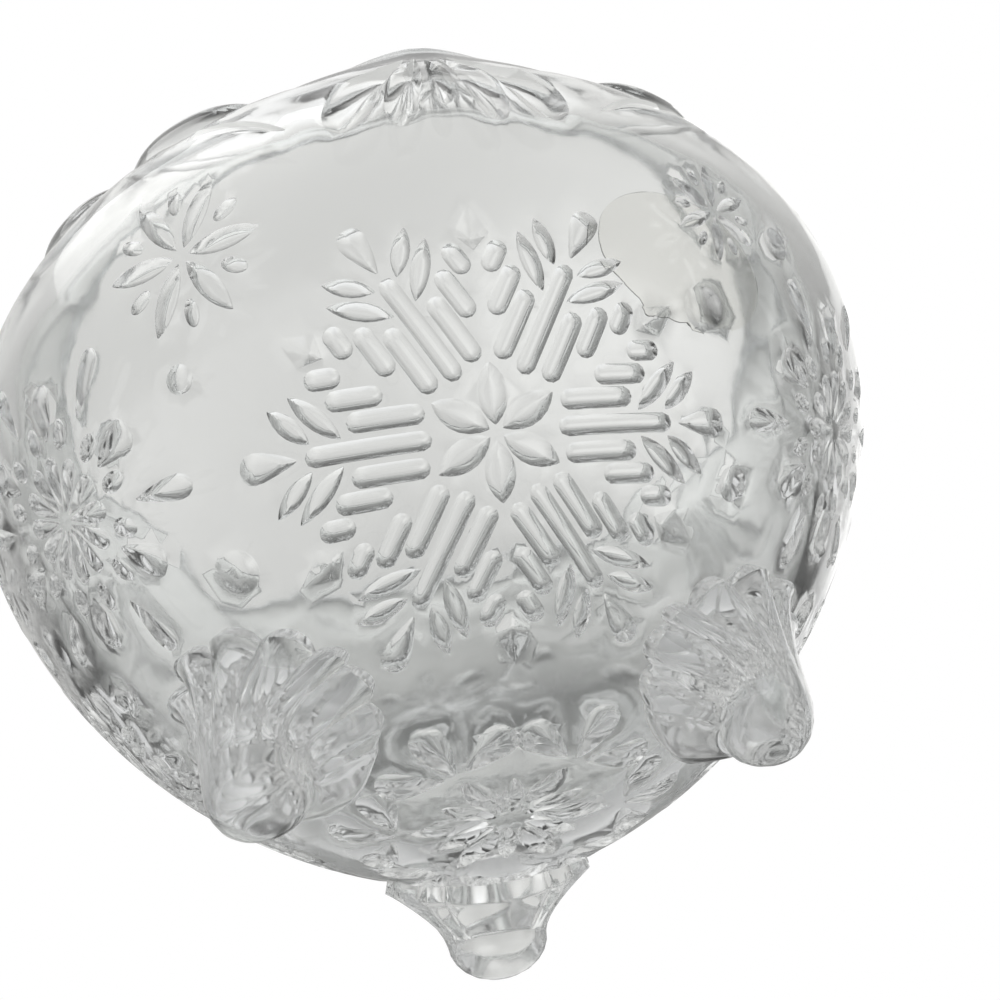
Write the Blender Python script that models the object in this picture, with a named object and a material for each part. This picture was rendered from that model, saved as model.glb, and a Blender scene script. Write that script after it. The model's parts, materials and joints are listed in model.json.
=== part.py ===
"""Three-footed pressed-glass bowl for floating candles.

Metres, +Z up. The origin is on the surface that the feet stand on, under the bowl's centre.
Azimuths start at -Y, where one of the three rim fans is, and grow towards +X.
"""
import math

import bmesh
import bpy
import numpy as np
from mathutils import Vector
from mathutils.geometry import delaunay_2d_cdt

# Outer shape of the bowl: radii, and heights above its flat underside.
UNDERSIDE_RADIUS = 0.0187
HEEL_ROUNDING = 0.0050
WALL_START_TURN = (0.0589, 0.0198)
WALL_END_TURN_HEIGHT = 0.0524
BELLY_RADIUS = 0.0700
BELLY_HEIGHT = 0.0631
SHOULDER_TURN_HEIGHT = 0.0700
RIM_RADIUS = 0.0612
RIM_HEIGHT = 0.0835
UNDERSIDE_CLEARANCE = 0.0060

# Thickness of the glass.
WALL_THICKNESS = 0.0050
FLOOR_THICKNESS = 0.0075
FLOOR_FILLET = 0.0050
LIP_CROWN = 0.0011

# The rim: in each third of the round one fan lobe, then plain lobes of equal width.
THIRDS = 3
FAN_LOBE_HALF_ANGLE = 20.0
PLAIN_LOBES = 4
RIM_BAND_HEIGHT = 0.0105
LOBE_SWELL = 0.0020
COVE_DEPTH = 0.0007
FAN_PEAK_FLARE = 0.0022
FAN_NOTCH_DROP = 0.0048
PLAIN_NOTCH_DROP = 0.0040
PLAIN_CREST_DROP = 0.0026

# Flutes cut into each fan lobe, fanning down from its peak.
FAN_FLUTES = 5
FAN_SPREAD = 58.0
FAN_ROOT_BELOW_EDGE = 0.0060
FAN_FLUTE_LENGTH = 0.0250
FAN_FLUTE_GAIN = 0.0040
FAN_FLUTE_WIDTH = 0.0052
FAN_FLUTE_DEPTH = 0.0012

# The scallop-shell feet.
FOOT_COUNT = 3
FOOT_FIRST_AZIMUTH = 60.0
SHELL_CENTRE_ALONG = 0.0360
SHELL_HALF_WIDTH = 0.0150
SHELL_REACH_UP = 0.0125
SHELL_CROWN_POWER = 1.5
SHELL_REACH_DOWN = 0.0135
SHELL_THICKNESS = 0.0029
SHELL_EDGE = 0.0020
FLUTES_AROUND = 14
FLUTE_STEPS = 6
FLUTE_DEPTH = 0.0014
FLUTE_TIP_REACH = 0.0012
TOE_RADIUS = 0.0363
TOE_HALF_WIDTH = 0.0076
TOE_HALF_DEPTH = 0.0062
TOE_EQUATOR = 0.0055
TOE_SLOPE = 0.0018
PAD_RADIUS = 0.0028

# The oval instruction label, inside the wall.
LABEL_AZIMUTH = 27.5
LABEL_HEIGHT = 0.0455
LABEL_WIDTH = 0.0250
LABEL_TALL = 0.0170
LABEL_TILT = -5.0
LABEL_THICKNESS = 0.0002

# Fits and mesh.
TOUCHING_GAP = 0.0003
OUTER_STEP = 0.0052
INNER_STEP = 0.0060
FAN_LOBE_COLUMNS = 14
PLAIN_LOBE_COLUMNS = 6
PROFILE_STEPS = 60


def clear_scene():
    for item in list(bpy.data.objects):
        bpy.data.objects.remove(item, do_unlink=True)


def smooth_step(value):
    value = min(max(value, 0.0), 1.0)
    return value * value * (3.0 - 2.0 * value)


def curve_through(*corners, steps=PROFILE_STEPS):
    """Points of a smooth curve from the first corner to the last, drawn to those between."""
    t = np.linspace(0.0, 1.0, steps)[:, None]
    last = len(corners) - 1
    shares = [math.comb(last, k) * t ** k * (1 - t) ** (last - k) for k in range(last + 1)]
    return sum(share * np.array(corner, float) for share, corner in zip(shares, corners))


class Profile:
    """A turned profile of (radius, height) points, read by the distance along it."""

    def __init__(self, pieces):
        points = [pieces[0]]
        for piece in pieces[1:]:
            points.append(piece[1:])
        self.points = np.vstack(points)
        steps = np.hypot(*np.diff(self.points, axis=0).T)
        self.along = np.concatenate([[0.0], np.cumsum(steps)])
        self.length = self.along[-1]
        slope = np.gradient(self.points, self.along, axis=0)
        slope /= np.linalg.norm(slope, axis=1)[:, None]
        self.outward = np.stack([slope[:, 1], -slope[:, 0]], axis=1)

    def read(self, along):
        """Radius, height and outward direction at a distance from the centre."""
        columns = np.hstack([self.points, self.outward]).T
        return [float(np.interp(along, self.along, column)) for column in columns]

    def along_at_height(self, height):
        return float(np.interp(height, self.points[:, 1], self.along))


def outer_profile():
    wall = curve_through((UNDERSIDE_RADIUS, 0.0), WALL_START_TURN,
                         (BELLY_RADIUS, WALL_END_TURN_HEIGHT), (BELLY_RADIUS, BELLY_HEIGHT))
    from_heel = np.hypot(*(wall - wall[0]).T)
    wall = wall[from_heel >= HEEL_ROUNDING]
    flat_end = UNDERSIDE_RADIUS - HEEL_ROUNDING
    underside = np.linspace((0.0, 0.0), (flat_end, 0.0), 12)
    heel = curve_through((flat_end, 0.0), (UNDERSIDE_RADIUS, 0.0), wall[0], steps=10)
    shoulder = curve_through((BELLY_RADIUS, BELLY_HEIGHT), (BELLY_RADIUS, SHOULDER_TURN_HEIGHT),
                             (RIM_RADIUS, RIM_HEIGHT), steps=30)
    return Profile([underside, heel, wall, shoulder])


def inner_profile(outer):
    """The cavity: the outer profile moved in by the wall, over a flat floor with a fillet."""
    moved = outer.points - WALL_THICKNESS * outer.outward
    above = moved[:, 1] > FLOOR_THICKNESS
    wall = moved[above]
    from_floor = np.hypot(*(wall - wall[0]).T)
    corner = (wall[0][0], FLOOR_THICKNESS)
    wall = wall[from_floor >= FLOOR_FILLET]
    flat_end = corner[0] - FLOOR_FILLET
    floor = np.linspace((0.0, FLOOR_THICKNESS), (flat_end, FLOOR_THICKNESS), 8)
    fillet = curve_through((flat_end, FLOOR_THICKNESS), corner, wall[0], steps=10)
    return Profile([floor, fillet, wall])


OUTER = outer_profile()
INNER = inner_profile(OUTER)
THIRD_ANGLE = 360.0 / THIRDS
PLAIN_LOBE_ANGLE = (THIRD_ANGLE - 2.0 * FAN_LOBE_HALF_ANGLE) / PLAIN_LOBES


def polar(radius, azimuth, height):
    return Vector((radius * math.sin(azimuth), -radius * math.cos(azimuth), height))


def rim_lobe(azimuth):
    """At an azimuth: swell of the rim band, flare of its edge, and drop below the fan's peak."""
    turn = math.degrees(azimuth) % THIRD_ANGLE
    turn = min(turn, THIRD_ANGLE - turn)
    if turn < FAN_LOBE_HALF_ANGLE:
        across = turn / FAN_LOBE_HALF_ANGLE
        swell = LOBE_SWELL * (max(math.sin(math.pi * across), 0.0)) ** 0.7
        away = across ** 1.3
        return swell, FAN_PEAK_FLARE * (1.0 - away), FAN_NOTCH_DROP * away
    lobe, part = divmod((turn - FAN_LOBE_HALF_ANGLE) / PLAIN_LOBE_ANGLE + 1e-9, 1.0)
    across = 2.0 * part - 1.0
    beside_fan = lobe == 0 and across < 0.0
    edge_drop = FAN_NOTCH_DROP if beside_fan else PLAIN_NOTCH_DROP
    drop = PLAIN_CREST_DROP + (edge_drop - PLAIN_CREST_DROP) * abs(across) ** 2.2
    return LOBE_SWELL * (1.0 - abs(across) ** 2.5), 0.0, drop


def rim_columns():
    """Azimuths round the rim, with one at each notch between two lobes."""
    fan = np.linspace(-FAN_LOBE_HALF_ANGLE, FAN_LOBE_HALF_ANGLE, FAN_LOBE_COLUMNS + 1)
    plain = np.linspace(FAN_LOBE_HALF_ANGLE, THIRD_ANGLE - FAN_LOBE_HALF_ANGLE,
                        PLAIN_LOBES * PLAIN_LOBE_COLUMNS + 1)
    third = list(fan[:-1]) + list(plain[:-1])
    turns = [turn + third_number * THIRD_ANGLE
             for third_number in range(THIRDS) for turn in third]
    return [math.radians(turn) for turn in turns]


def outer_point(azimuth, along, cut=0.0):
    """A point of the outer surface, with the rim's lobes, moved in by the depth of a cut."""
    radius, height, out_r, out_z = OUTER.read(along)
    band = (along - OUTER.length + RIM_BAND_HEIGHT) / RIM_BAND_HEIGHT
    push = -cut
    if band > -0.5:
        swell, flare, drop = rim_lobe(azimuth)
        if band > 0.0:
            push += swell * math.sin(0.8 * math.pi * band) + flare * band * band
            height -= drop * band * band
        else:
            push += COVE_DEPTH * swell / LOBE_SWELL * math.sin(2.0 * math.pi * band)
    return polar(radius + out_r * push, azimuth, UNDERSIDE_CLEARANCE + height + out_z * push)


def inner_point(azimuth, along):
    radius, height, _, _ = INNER.read(along)
    band = (along - INNER.length + RIM_BAND_HEIGHT) / RIM_BAND_HEIGHT
    if band > 0.0:
        _, _, drop = rim_lobe(azimuth)
        height -= drop * band * band
    return polar(radius, azimuth, UNDERSIDE_CLEARANCE + height)


class Sheet:
    """A surface over a flat disc: points with a flat place and a place in space, and triangles."""

    def __init__(self, place):
        self.place = place
        self.flat = []
        self.solid = []
        self.fixed = []

    def add(self, azimuth, along, solid=None):
        """Add a point by its azimuth and its distance from the centre."""
        self.flat.append(Vector((along * math.sin(azimuth), -along * math.cos(azimuth))))
        self.solid.append(solid if solid is not None else self.place(azimuth, along))
        return len(self.flat) - 1

    def add_loop(self, corners):
        """Add a closed line of (azimuth, along, solid) corners that no triangle crosses."""
        loop = [self.add(*corner) for corner in corners]
        self.fixed += list(zip(loop, loop[1:] + loop[:1]))
        return loop

    def add_rings(self, profile, start, end, step, keep=lambda flat: True):
        """Fill the disc with staggered rings of points about one step apart."""
        rings = max(int(round((end - start) / step)), 1)
        for ring in range(rings):
            along = start + (end - start) * ring / rings
            radius = profile.read(along)[0]
            count = max(int(round(2.0 * math.pi * radius / step)), 1)
            for spot in range(count):
                azimuth = 2.0 * math.pi * (spot + 0.5 * (ring % 2)) / count
                flat = Vector((along * math.sin(azimuth), -along * math.cos(azimuth)))
                if keep(flat):
                    self.add(azimuth, along)

    def triangles(self):
        """Join the points; where two fixed lines cross, the crossing becomes a new point."""
        scale = 1000.0
        flat = [point * scale for point in self.flat]
        found, _, faces, origins, _, _ = delaunay_2d_cdt(flat, self.fixed, [], 0, 1e-5)
        index = []
        for point, origin in zip(found, origins):
            if origin:
                index.append(origin[0])
                continue
            point = point / scale
            index.append(self.add(math.atan2(point.x, -point.y), point.length))
        joined = [tuple(index[corner] for corner in face) for face in faces]
        return [face for face in joined if len(set(face)) == 3]


def leaf_outline(root, tip, width, corners=5):
    """A leaf with a pointed root and a round tip: its outline, and points of its mid line."""
    axis = tip - root
    side = Vector((-axis.y, axis.x)).normalized() * width / 2.0
    right, left, middle = [], [], []
    for step in range(1, corners):
        part = math.sin(0.5 * math.pi * step / corners)
        swell = 1.45 * part ** 0.8 * math.sqrt(1.0 - part ** 5)
        middle.append(root + axis * part)
        right.append(middle[-1] - side * swell)
        left.append(middle[-1] + side * swell)
    outline = [root] + right + [tip] + left[::-1]
    return outline, middle


class FlatLeaf:
    """One cut of a motif on the outer surface, drawn on the sheet's flat disc."""

    def __init__(self, root, tip, width, depth):
        self.outline, self.middle = leaf_outline(root, tip, width)
        self.depth = depth
        self.root = root
        self.tip = tip
        self.clear = width / 2.0 + OUTER_STEP * 0.3

    def covers(self, flat):
        axis = self.tip - self.root
        part = min(max((flat - self.root).dot(axis) / axis.dot(axis), 0.0), 1.0)
        return (flat - self.root - axis * part).length < self.clear

    def add_to(self, sheet):
        sheet.add_loop([(math.atan2(p.x, -p.y), p.length) for p in self.outline])
        for p in self.middle:
            azimuth, along = math.atan2(p.x, -p.y), p.length
            sheet.add(azimuth, along, outer_point(azimuth, along, self.depth))


def disc_place(azimuth, along):
    return Vector((along * math.sin(azimuth), -along * math.cos(azimuth)))


def fan_leaves():
    """The flutes of the rim fans: each fan's roots lie on a small arc below its peak."""
    leaves = []
    top = OUTER.length - FAN_ROOT_BELOW_EDGE
    stretch = top / OUTER.read(top)[0]
    for third in range(THIRDS):
        middle = math.radians(third * THIRD_ANGLE)
        for flute in range(FAN_FLUTES):
            part = flute / (FAN_FLUTES - 1) - 0.5
            lean = math.radians(FAN_SPREAD * part)
            reach = FAN_FLUTE_LENGTH + FAN_FLUTE_GAIN * abs(2.0 * part)
            start = FAN_FLUTE_WIDTH * 0.75
            ends = []
            for distance in (start, reach):
                across = distance * math.sin(lean)
                azimuth = middle + across * stretch / top
                ends.append(disc_place(azimuth, top + start - distance * math.cos(lean)))
            width = FAN_FLUTE_WIDTH * (0.55 + 0.9 * abs(part))
            leaves.append(FlatLeaf(ends[0], ends[1], width, FAN_FLUTE_DEPTH))
    return leaves


def make_material(name, colour, roughness, transmission):
    material = bpy.data.materials.new(name)
    material.use_nodes = True
    shader = material.node_tree.nodes["Principled BSDF"]
    shader.inputs["Base Color"].default_value = (*colour, 1.0)
    shader.inputs["Roughness"].default_value = roughness
    shader.inputs["Metallic"].default_value = 0.0
    shader.inputs["IOR"].default_value = 1.5
    shader.inputs["Transmission Weight"].default_value = transmission
    return material


def finish_object(name, bm, material, sharp_angle=35.0):
    """Turn a closed bmesh into a named, smooth-shaded object with its material."""
    bmesh.ops.recalc_face_normals(bm, faces=bm.faces[:])
    mesh = bpy.data.meshes.new(name)
    bm.to_mesh(mesh)
    bm.free()
    mesh.shade_smooth()
    mesh.set_sharp_from_angle(angle=math.radians(sharp_angle))
    mesh.materials.append(material)
    obj = bpy.data.objects.new(name, mesh)
    bpy.context.scene.collection.objects.link(obj)
    return obj


def add_sheet(bm, sheet):
    """Add a sheet's triangles to a bmesh and return its points as vertices."""
    faces = sheet.triangles()
    verts = [bm.verts.new(point) for point in sheet.solid]
    for face in faces:
        bm.faces.new([verts[corner] for corner in face])
    return verts


def build_bowl(material):
    columns = rim_columns()
    leaves = fan_leaves()

    outer = Sheet(outer_point)
    edge = outer.add_loop([(azimuth, OUTER.length) for azimuth in columns])
    for leaf in leaves:
        leaf.add_to(outer)

    def free(flat):
        return not any(leaf.covers(flat) for leaf in leaves)

    band_start = OUTER.length - RIM_BAND_HEIGHT
    band_rows = (-0.5, -0.25, 0.0, 0.2, 0.5, 0.8)
    for row in band_rows:
        along = band_start + row * RIM_BAND_HEIGHT
        for azimuth in columns:
            if free(disc_place(azimuth, along)):
                outer.add(azimuth, along)
    outer.add_rings(OUTER, 0.0, band_start + band_rows[0] * RIM_BAND_HEIGHT, OUTER_STEP, free)

    inner = Sheet(inner_point)
    lip = inner.add_loop([(azimuth, INNER.length) for azimuth in columns])
    inner.add_rings(INNER, 0.0, INNER.length, INNER_STEP)

    bm = bmesh.new()
    outer_verts = add_sheet(bm, outer)
    inner_verts = add_sheet(bm, inner)
    crown = []
    for near, far in zip(edge, lip):
        outside, inside = outer_verts[near].co, inner_verts[far].co
        crown.append(bm.verts.new((outside + inside) / 2.0 + Vector((0.0, 0.0, LIP_CROWN))))
    rings = ([outer_verts[i] for i in edge], crown, [inner_verts[i] for i in lip])
    for low, high in zip(rings, rings[1:]):
        for here in range(len(columns)):
            after = (here + 1) % len(columns)
            bm.faces.new((low[here], low[after], high[after], high[here]))
    loose = [vert for vert in bm.verts if not vert.link_faces]
    bmesh.ops.delete(bm, geom=loose, context="VERTS")
    return finish_object("bowl", bm, material)


def shell_lobe(theta):
    """How far the shell is fluted there, and how near the crest of a flute, from 0 to 1."""
    fluted = smooth_step((math.sin(theta) + 0.95) / 0.6)
    crest = abs(math.cos(0.5 * FLUTES_AROUND * (theta - math.pi / 2.0)))
    return fluted, crest ** 0.8


def shell_edge(theta):
    """Across and up from the shell's centre to its edge."""
    fluted, crest = shell_lobe(theta)
    tip = FLUTE_TIP_REACH * (crest - 0.5) * fluted
    across, up = math.cos(theta), math.sin(theta)
    if up > 0.0:
        reach_up = SHELL_REACH_UP * up ** SHELL_CROWN_POWER
    else:
        reach_up = SHELL_REACH_DOWN * up
    return SHELL_HALF_WIDTH * across + tip * across, reach_up + tip * up


def wall_place(foot_azimuth, across, up, lift):
    """A point off the wall, across and up from the centre of a foot's shell."""
    along = SHELL_CENTRE_ALONG + up
    radius, height, out_r, out_z = OUTER.read(along)
    azimuth = foot_azimuth + across / OUTER.read(SHELL_CENTRE_ALONG + up * 0.5)[0]
    return polar(radius + out_r * lift, azimuth, UNDERSIDE_CLEARANCE + height + out_z * lift)


def wall_height(radius):
    """Height of the outer surface over a point below the belly."""
    return UNDERSIDE_CLEARANCE + float(np.interp(radius, OUTER.points[:, 0], OUTER.points[:, 1]))


def foot_spoke(foot_azimuth, theta):
    """One line of points down the foot, from the shell's edge on the wall to the pad."""
    fluted, crest = shell_lobe(theta)
    hollow = FLUTE_DEPTH * fluted * (1.0 - crest)
    outward = polar(1.0, foot_azimuth, 0.0)
    aside = polar(1.0, foot_azimuth + math.pi / 2.0, 0.0)
    toe = outward * TOE_RADIUS
    arm = aside * TOE_HALF_WIDTH * math.cos(theta) + outward * TOE_HALF_DEPTH * math.sin(theta)

    across, up = shell_edge(theta)
    edge = wall_place(foot_azimuth, across, up, TOUCHING_GAP + SHELL_EDGE - hollow)
    equator = toe + arm + Vector((0.0, 0.0, TOE_EQUATOR + TOE_SLOPE * math.sin(theta)))
    bend = toe + arm * 1.12
    bend.z = min(wall_height(bend.length), edge.z) - SHELL_THICKNESS

    spoke = [wall_place(foot_azimuth, across, up, TOUCHING_GAP), edge]
    for part in (0.18, 0.42, 0.7):
        point = edge.lerp(bend, part).lerp(bend.lerp(equator, part), part)
        inward = toe - point
        inward.z = 0.0
        point += inward.normalized() * hollow * (1.0 - 0.5 * part)
        spoke.append(point)
    spoke.append(equator)
    pad_share = PAD_RADIUS / TOE_HALF_WIDTH
    for turn in (28.0, 56.0):
        round_off = math.radians(turn)
        size = pad_share + (1.0 - pad_share) * math.cos(round_off)
        point = toe + arm * size
        point.z = equator.z * (1.0 - math.sin(round_off))
        spoke.append(point)
    spoke.append(toe + arm * pad_share)
    return spoke


def build_foot(name, azimuth, material):
    spokes = FLUTES_AROUND * FLUTE_STEPS
    thetas = [2.0 * math.pi * spoke / spokes for spoke in range(spokes)]
    lines = [foot_spoke(azimuth, theta) for theta in thetas]
    bm = bmesh.new()
    grid = [[bm.verts.new(point) for point in line] for line in lines]
    for here in range(spokes):
        after = (here + 1) % spokes
        for step in range(len(grid[0]) - 1):
            bm.faces.new((grid[here][step], grid[after][step],
                          grid[after][step + 1], grid[here][step + 1]))
    bm.faces.new([line[-1] for line in grid])

    back = [Vector(shell_edge(theta)) for theta in thetas]
    verts = [line[0] for line in grid]
    for ring in range(4):
        count = max(6 * ring, 1)
        for spot in range(count):
            place = Vector(shell_edge(2.0 * math.pi * spot / count)) * ring / 4.0
            back.append(place)
            verts.append(bm.verts.new(wall_place(azimuth, place.x, place.y, TOUCHING_GAP)))
    edges = [(here, (here + 1) % spokes) for here in range(spokes)]
    scaled = [place * 1000.0 for place in back]
    _, _, faces, origins, _, _ = delaunay_2d_cdt(scaled, edges, [], 1, 1e-5)
    for face in faces:
        bm.faces.new([verts[origins[corner][0]] for corner in face])
    return finish_object(name, bm, material, 50.0)


def build_label(material):
    """A thin oval that follows the inside of the wall."""
    middle_along = INNER.along_at_height(LABEL_HEIGHT)
    tilt = math.radians(LABEL_TILT)
    middle_azimuth = math.radians(LABEL_AZIMUTH)

    def place(x, y, lift):
        across = x * math.cos(tilt) - y * math.sin(tilt)
        up = x * math.sin(tilt) + y * math.cos(tilt)
        radius, height, out_r, out_z = INNER.read(middle_along + up)
        lifted = TOUCHING_GAP + lift
        azimuth = middle_azimuth + across / INNER.read(middle_along)[0]
        return polar(radius - out_r * lifted, azimuth, UNDERSIDE_CLEARANCE + height - out_z * lifted)

    bm = bmesh.new()
    rings = (0.0, 0.35, 0.7, 1.0)
    spots = 24
    layers = []
    for lift in (0.0, LABEL_THICKNESS):
        layer = [[bm.verts.new(place(0.0, 0.0, lift))]]
        for size in rings[1:]:
            ring = []
            for spot in range(spots):
                theta = 2.0 * math.pi * spot / spots
                ring.append(bm.verts.new(place(size * LABEL_WIDTH / 2.0 * math.cos(theta),
                                               size * LABEL_TALL / 2.0 * math.sin(theta), lift)))
            layer.append(ring)
        layers.append(layer)
    for layer in layers:
        for here in range(spots):
            after = (here + 1) % spots
            bm.faces.new((layer[0][0], layer[1][here], layer[1][after]))
            for low, high in zip(layer[1:], layer[2:]):
                bm.faces.new((low[here], high[here], high[after], low[after]))
    for here in range(spots):
        after = (here + 1) % spots
        bm.faces.new((layers[0][-1][here], layers[0][-1][after],
                      layers[1][-1][after], layers[1][-1][here]))
    return finish_object("care_label", bm, material)


def build():
    clear_scene()
    glass = make_material("clear_glass", (0.96, 0.97, 0.97), 0.02, 1.0)
    film = make_material("label_film", (0.90, 0.90, 0.86), 0.35, 0.6)
    build_bowl(glass)
    for number in range(FOOT_COUNT):
        azimuth = math.radians(FOOT_FIRST_AZIMUTH + 360.0 / FOOT_COUNT * number)
        build_foot("foot_%d" % (number + 1), azimuth, glass)
    build_label(film)


build()
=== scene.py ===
import json
import math

import bmesh
import bpy
import numpy as np
from mathutils import Matrix, Vector
from mathutils.geometry import delaunay_2d_cdt

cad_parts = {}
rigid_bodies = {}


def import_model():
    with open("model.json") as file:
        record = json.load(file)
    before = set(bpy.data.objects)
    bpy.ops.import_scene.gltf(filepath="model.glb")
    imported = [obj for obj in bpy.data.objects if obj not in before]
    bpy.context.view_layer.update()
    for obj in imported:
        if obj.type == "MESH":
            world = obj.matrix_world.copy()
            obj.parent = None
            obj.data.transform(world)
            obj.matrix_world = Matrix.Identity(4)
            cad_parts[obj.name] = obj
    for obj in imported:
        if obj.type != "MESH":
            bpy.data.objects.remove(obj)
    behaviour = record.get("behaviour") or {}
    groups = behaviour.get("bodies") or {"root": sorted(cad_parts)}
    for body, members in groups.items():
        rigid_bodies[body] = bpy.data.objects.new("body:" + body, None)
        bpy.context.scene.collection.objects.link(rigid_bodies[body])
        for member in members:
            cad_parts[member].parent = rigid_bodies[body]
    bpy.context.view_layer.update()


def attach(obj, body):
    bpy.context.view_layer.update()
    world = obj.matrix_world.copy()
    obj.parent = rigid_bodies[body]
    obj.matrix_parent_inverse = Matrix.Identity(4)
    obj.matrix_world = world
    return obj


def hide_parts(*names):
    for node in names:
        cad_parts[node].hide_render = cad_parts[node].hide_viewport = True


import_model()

# Pressed glass bowl on three shell feet. Metres; azimuth 0 is the front fan, towards -Y,
# and grows towards +X. "along" is the distance up the outside from the middle of the base.

# The bowl's turned shape

wall = {
    "baseRadius": 0.0187, "heel": 0.0050, "startTurn": (0.0589, 0.0198),
    "endTurnHeight": 0.0524, "bellyRadius": 0.0700, "bellyHeight": 0.0631,
    "shoulderTurnHeight": 0.0700, "rimRadius": 0.0612, "rimHeight": 0.0835,
    "clearance": 0.0060, "glass": 0.0050, "floorGlass": 0.0075, "fillet": 0.0180,
    "floorSteps": 8,
}


def bezier(*corners, steps=80):
    t = np.linspace(0.0, 1.0, steps)[:, None]
    last = len(corners) - 1
    return sum(math.comb(last, k) * t ** k * (1 - t) ** (last - k) * np.array(corner, float)
               for k, corner in enumerate(corners))


def turnedLine(parts):
    # radius, height and outward direction, all by the distance along the line
    points = np.vstack([parts[0]] + [part[1:] for part in parts[1:]])
    steps = np.hypot(*np.diff(points, axis=0).T)
    along = np.concatenate([[0.0], np.cumsum(steps)])
    slope = np.gradient(points, along, axis=0)
    slope /= np.linalg.norm(slope, axis=1)[:, None]
    return {"points": points, "along": along, "length": along[-1],
            "columns": [points[:, 0], points[:, 1], slope[:, 1], -slope[:, 0]]}


def readLine(line, along):
    return [float(np.interp(along, line["along"], column)) for column in line["columns"]]


def outerLine(w):
    side = bezier((w["baseRadius"], 0), w["startTurn"], (w["bellyRadius"], w["endTurnHeight"]),
                  (w["bellyRadius"], w["bellyHeight"]))
    side = side[np.hypot(*(side - side[0]).T) >= w["heel"]]
    flatEnd = w["baseRadius"] - w["heel"]
    base = np.linspace((0, 0), (flatEnd, 0), 16)
    heel = bezier((flatEnd, 0), (w["baseRadius"], 0), side[0], steps=14)
    shoulder = bezier((w["bellyRadius"], w["bellyHeight"]),
                      (w["bellyRadius"], w["shoulderTurnHeight"]),
                      (w["rimRadius"], w["rimHeight"]), steps=40)
    return turnedLine([base, heel, side, shoulder])


def innerLine(w, outside):
    radius, height, outR, outZ = outside["columns"]
    moved = np.stack([radius - w["glass"] * outR, height - w["glass"] * outZ], axis=1)
    side = moved[moved[:, 1] > w["floorGlass"]]
    corner = (side[0][0], w["floorGlass"])
    side = side[np.hypot(*(side - side[0]).T) >= w["fillet"]]
    flatEnd = corner[0] - w["fillet"]
    bottom = np.linspace((0, w["floorGlass"]), (flatEnd, w["floorGlass"]), w["floorSteps"])
    fillet = bezier((flatEnd, w["floorGlass"]), corner, side[0], steps=12)
    return turnedLine([bottom, fillet, side])


outside = outerLine(wall)
inside = innerLine(wall, outside)


def polar(radius, azimuth, height):
    return Vector((radius * math.sin(azimuth), -radius * math.cos(azimuth), height))


# A flat drawing of the outside that keeps every small shape true, like a map from the pole

mapStart = 0.010  # within this radius the base is flat and needs no stretching
flatRadius = np.maximum(outside["points"][:, 0], 1e-6)
growth = np.diff(outside["along"]) * 0.5 * (1 / flatRadius[1:] + 1 / flatRadius[:-1])
growth = np.concatenate([[0.0], np.cumsum(growth)])
atHeel = int(np.searchsorted(outside["points"][:, 0], mapStart))
flatReach = np.where(np.arange(len(growth)) < atHeel, outside["along"],
                     outside["along"][atHeel] * np.exp(growth - growth[atHeel]))


def toFlat(azimuth, along):
    reach = float(np.interp(along, outside["along"], flatReach)) * 1000.0
    return Vector((reach * math.sin(azimuth), -reach * math.cos(azimuth)))


def fromFlat(spot):
    return math.atan2(spot.x, -spot.y), float(np.interp(spot.length / 1000.0, flatReach,
                                                        outside["along"]))


# The lobed rim

rim = {
    "thirds": 3, "fanHalf": 20.0, "plainLobes": 4, "band": 0.0112, "bandAtNotch": 0.42,
    "swell": 0.0021, "swellEnd": 2.5, "fanSwell": 0.2, "fanSwellEnd": 0.7, "roll": 0.86,
    "crease": 0.75, "cove": 0.0007, "coveReach": 0.5, "peakFlare": 0.0022,
    "peakRound": 0.14,
    "fanDrop": 0.0048, "notchDrop": 0.0040, "crestDrop": 0.0026, "dropEnd": 2.2,
    "columns": 360, "lipCrown": 0.0011, "lipRows": 4,
}
thirdTurn = 360.0 / rim["thirds"]
lobeTurn = (thirdTurn - 2 * rim["fanHalf"]) / rim["plainLobes"]


def bandHeight(across):
    return rim["band"] * (1 - (1 - rim["bandAtNotch"]) * across ** 2)


def rimLobe(azimuth):
    # swell, flare, drop and height of the band at an azimuth
    turn = math.degrees(azimuth) % thirdTurn
    turn = min(turn, thirdTurn - turn)
    if turn < rim["fanHalf"]:
        across = turn / rim["fanHalf"]
        tip = rim["peakRound"]
        away = (math.hypot(across, tip) - tip) / (math.hypot(1.0, tip) - tip)
        swell = (rim["swell"] * rim["fanSwell"]
                 * max(math.sin(math.pi * across), 0.0) ** rim["fanSwellEnd"])
        return swell, rim["peakFlare"] * (1 - away), rim["fanDrop"] * away, bandHeight(across)
    lobe, part = divmod((turn - rim["fanHalf"]) / lobeTurn + 1e-9, 1.0)
    across = 2 * part - 1
    edgeDrop = rim["fanDrop"] if lobe == 0 and across < 0 else rim["notchDrop"]
    drop = rim["crestDrop"] + (edgeDrop - rim["crestDrop"]) * abs(across) ** rim["dropEnd"]
    swell = rim["swell"] * (1 - abs(across) ** rim["swellEnd"])
    return swell, 0.0, drop, bandHeight(across)


def outerPoint(azimuth, along, cut=0.0):
    radius, height, outR, outZ = readLine(outside, along)
    below = outside["length"] - along
    push = -cut
    if below < (1 + rim["coveReach"]) * rim["band"]:
        swell, flare, drop, band = rimLobe(azimuth)
        up = 1 - below / band
        if up > 0:
            push += swell * math.sin(rim["roll"] * math.pi * up ** rim["crease"])
            push += flare * up * up
        elif up > -rim["coveReach"]:
            push += rim["cove"] * swell / rim["swell"] * math.sin(2 * math.pi * up)
        rise = max(1 - below / rim["band"], 0.0)
        height -= drop * rise * rise
    return polar(radius + outR * push, azimuth, wall["clearance"] + height + outZ * push)


# Cuts of the pattern, in millimetres, drawn flat before they are laid on the wall

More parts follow.
